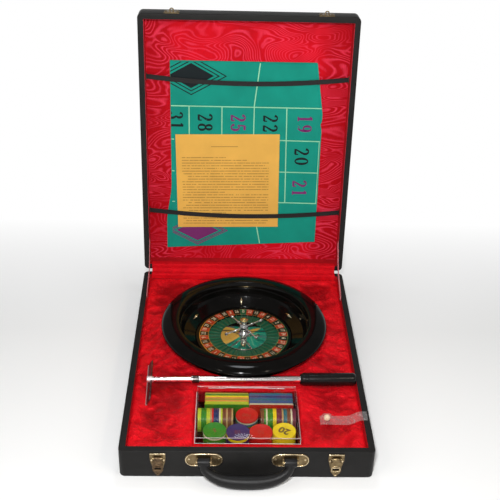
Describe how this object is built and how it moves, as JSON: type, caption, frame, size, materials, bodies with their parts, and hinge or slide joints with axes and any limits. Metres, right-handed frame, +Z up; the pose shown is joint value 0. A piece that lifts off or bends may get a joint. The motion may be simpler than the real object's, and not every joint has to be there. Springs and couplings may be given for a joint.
{
  "type": "roulette set case",
  "caption": "Roulette set in a hinged carrying case: wheel with spinning rotor, rake, chip box, ball, folded layout cloth and rules sheet under straps in the lid.",
  "frame": {"origin": "centre of the base's underside", "axes": "+X to the right, +Y from the front with the handle to the hinged rear, +Z up; the lid stands open"},
  "size_m": [0.36, 0.5679, 0.5176],
  "materials": {
    "plywood": "plain plywood, hidden",
    "card": "grey-brown card, hidden",
    "leatherette": "black grained leatherette",
    "red_lining": "dark red cloth lining",
    "red_satin": "padded red satin",
    "red_moire": "red moire cloth",
    "hinge_brass": "dull brass plate",
    "aged_brass": "aged brass plate",
    "latch_brass": "pressed brass, polished by use",
    "handle_plastic": "black moulded plastic",
    "elastic": "black woven elastic",
    "cloth_print": "green cloth with pale printed lines",
    "sheet_paper": "yellow printed paper",
    "bakelite": "black polished bakelite",
    "felt": "green felt, hidden",
    "chromed_steel": "bright chrome",
    "spindle_steel": "turned steel",
    "rotor_plastic": "black and green lacquered disc",
    "number_plate": "printed ring of red, black and green cells",
    "polished_plate": "polished plate",
    "cap_brass": "polished brass",
    "grip_plastic": "black moulded plastic",
    "chip_plastic": "moulded chips in plain colours",
    "plaque_plastic": "moulded plaques in plain colours",
    "ball_plastic": "cream ball",
    "clear_plastic": "clear moulded polystyrene",
    "clear_film": "clear thin film"
  },
  "bodies": {
    "base": {"base_front_wall": "plywood", "base_rear_wall": "plywood", "base_side_walls": "plywood", "base_bottom_board": "plywood", "base_bottom_covering": "leatherette", "base_wall_covering": "leatherette", "base_wall_lining": "red_lining", "platform_battens": "plywood", "platform_board": "card", "base_floor_pad": "red_satin", "well_linings": "red_lining", "hinge_base_leaves": "hinge_brass", "hinge_pins": "hinge_brass", "latch_plates": "aged_brass", "latch_pins": "aged_brass", "handle_plates": "aged_brass", "handle_pins": "aged_brass", "base_rivets": "aged_brass", "stay_ribbons": "red_lining", "hinge_seam_strip": "red_lining"},
    "lid": {"lid_front_wall": "plywood", "lid_rear_wall": "plywood", "lid_side_walls": "plywood", "lid_top_board": "plywood", "lid_top_covering": "leatherette", "lid_wall_covering": "leatherette", "lid_wall_lining": "red_lining", "lid_panel_lining": "red_moire", "hinge_lid_leaves": "hinge_brass", "lid_catches": "aged_brass", "lid_rivets": "aged_brass", "elastic_straps": "elastic", "strap_anchors": "aged_brass"},
    "latch_left": {"latch_lever_left": "latch_brass"},
    "latch_right": {"latch_lever_right": "latch_brass"},
    "handle": {"handle_grip": "handle_plastic", "handle_eyes": "aged_brass"},
    "cloth": {"layout_cloth": "cloth_print"},
    "sheet": {"rules_sheet": "sheet_paper"},
    "wheel": {"wheel_bowl": "bakelite", "wheel_felt": "felt", "ball_deflectors": "chromed_steel", "wheel_spindle": "spindle_steel"},
    "rotor": {"rotor_disc": "rotor_plastic", "number_ring": "number_plate", "pocket_frets": "chromed_steel", "centre_plate": "polished_plate", "turret": "chromed_steel", "turret_cap": "cap_brass", "rotor_bush": "cap_brass"},
    "rake": {"rake_grip": "grip_plastic", "rake_tube": "chromed_steel"},
    "rake_head": {"rake_rod": "chromed_steel", "rake_blade": "chromed_steel"},
    "chip_box": {"chip_tray": "clear_plastic", "round_chips": "chip_plastic", "plaques": "plaque_plastic"},
    "chip_box_lid_body": {"chip_box_lid": "clear_plastic"},
    "ball_bag_body": {"roulette_ball": "ball_plastic", "ball_bag": "clear_film"}
  },
  "joints": [
    {"name": "lid_hinge", "type": "hinge", "parent": "base", "child": "lid", "pos_m": [0, 0.2325, 0.0495], "axis": [-1, 0, 0], "range_deg": [-95, 0], "deforming": ["stay_ribbons", "hinge_seam_strip"]},
    {"name": "latch_left_pivot", "type": "hinge", "parent": "base", "child": "latch_left", "pos_m": [-0.125, -0.2336, 0.0385], "axis": [-1, 0, 0], "range_deg": [0, 178]},
    {"name": "latch_right_pivot", "type": "hinge", "parent": "base", "child": "latch_right", "pos_m": [0.125, -0.2336, 0.0385], "axis": [-1, 0, 0], "range_deg": [0, 178]},
    {"name": "handle_pivot", "type": "hinge", "parent": "base", "child": "handle", "pos_m": [0, -0.238, 0.036], "axis": [-1, 0, 0], "range_deg": [0, 115]},
    {"name": "cloth_slide", "type": "slide", "parent": "lid", "child": "cloth", "axis": [0, 0.0872, 0.9962], "range_m": [0, 0.055]},
    {"name": "sheet_slide", "type": "slide", "parent": "lid", "child": "sheet", "axis": [0, 0.0872, 0.9962], "range_m": [0, 0.04]},
    {"name": "wheel_lift", "type": "slide", "parent": "base", "child": "wheel", "axis": [0, 0, 1], "range_m": [0, 0.12]},
    {"name": "rotor_spin", "type": "hinge", "parent": "wheel", "child": "rotor", "pos_m": [-0.0015, 0.056, 0.027], "axis": [0, 0, 1], "continuous": true},
    {"name": "rake_lift", "type": "slide", "parent": "base", "child": "rake", "axis": [0, -0.7071, 0.7071], "range_m": [0, 0.12]},
    {"name": "rake_telescope", "type": "slide", "parent": "rake", "child": "rake_head", "axis": [0.9993, 0.0326, -0.0155], "range_m": [0, 0.04]},
    {"name": "chip_box_lift", "type": "slide", "parent": "base", "child": "chip_box", "axis": [0, 0, 1], "range_m": [0, 0.06]},
    {"name": "chip_box_lid_hinge", "type": "hinge", "parent": "chip_box", "child": "chip_box_lid_body", "pos_m": [0.0008, -0.0937, 0.0482], "axis": [-1, 0, 0], "range_deg": [0, 90]},
    {"name": "ball_bag_lift", "type": "slide", "parent": "base", "child": "ball_bag_body", "axis": [0, 0, 1], "range_m": [0, 0.04]}
  ]
}
